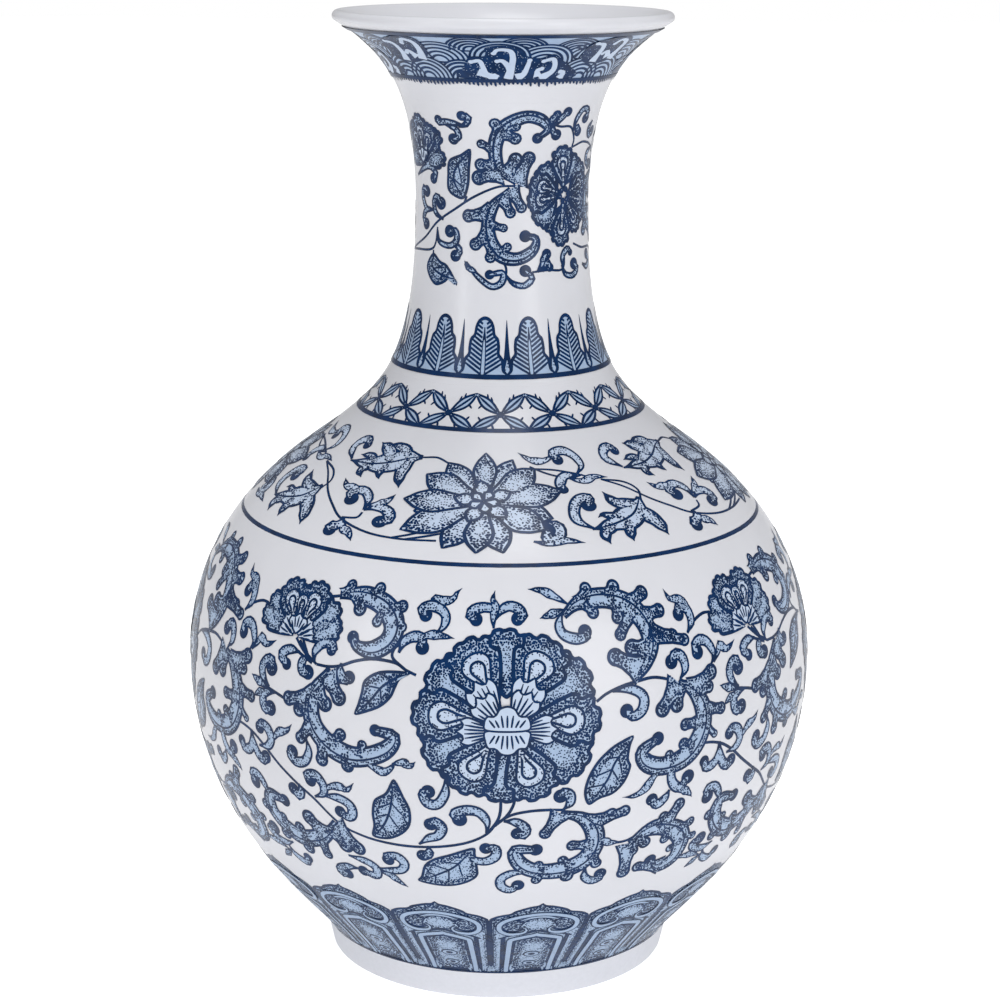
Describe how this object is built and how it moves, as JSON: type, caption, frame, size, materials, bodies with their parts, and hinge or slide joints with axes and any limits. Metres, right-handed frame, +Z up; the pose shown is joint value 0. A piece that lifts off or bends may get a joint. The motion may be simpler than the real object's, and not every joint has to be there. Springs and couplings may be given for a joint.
{
  "type": "porcelain bottle vase",
  "caption": "Tall bottle vase with a round belly, slim neck, flared mouth and turned foot ring, printed all over in blue scrolls and borders.",
  "frame": {"origin": "centre of the foot ring's resting face, on the axis of the wheel", "axes": "+Z up along the axis of the wheel, from the foot to the mouth; +Y points to the back, and -Y is the side with the large flower"},
  "size_m": [0.2354, 0.2354, 0.356],
  "materials": {
    "porcelain": "clear semi-gloss glaze over white porcelain",
    "biscuit": "thin glaze wiped off the resting edge",
    "cobalt": "cobalt blue print fired under the glaze"
  },
  "bodies": {
    "root": {"foot_ring": "biscuit", "lower_body": "porcelain", "shoulder": "porcelain", "neck": "porcelain", "flared_mouth": "porcelain", "foot_lappet_print": "cobalt", "body_scroll_print": "cobalt", "shoulder_line_print": "cobalt", "shoulder_lotus_print": "cobalt", "lattice_print": "cobalt", "plantain_leaf_print": "cobalt", "neck_scroll_print": "cobalt", "rim_wave_print": "cobalt"}
  },
  "joints": []
}
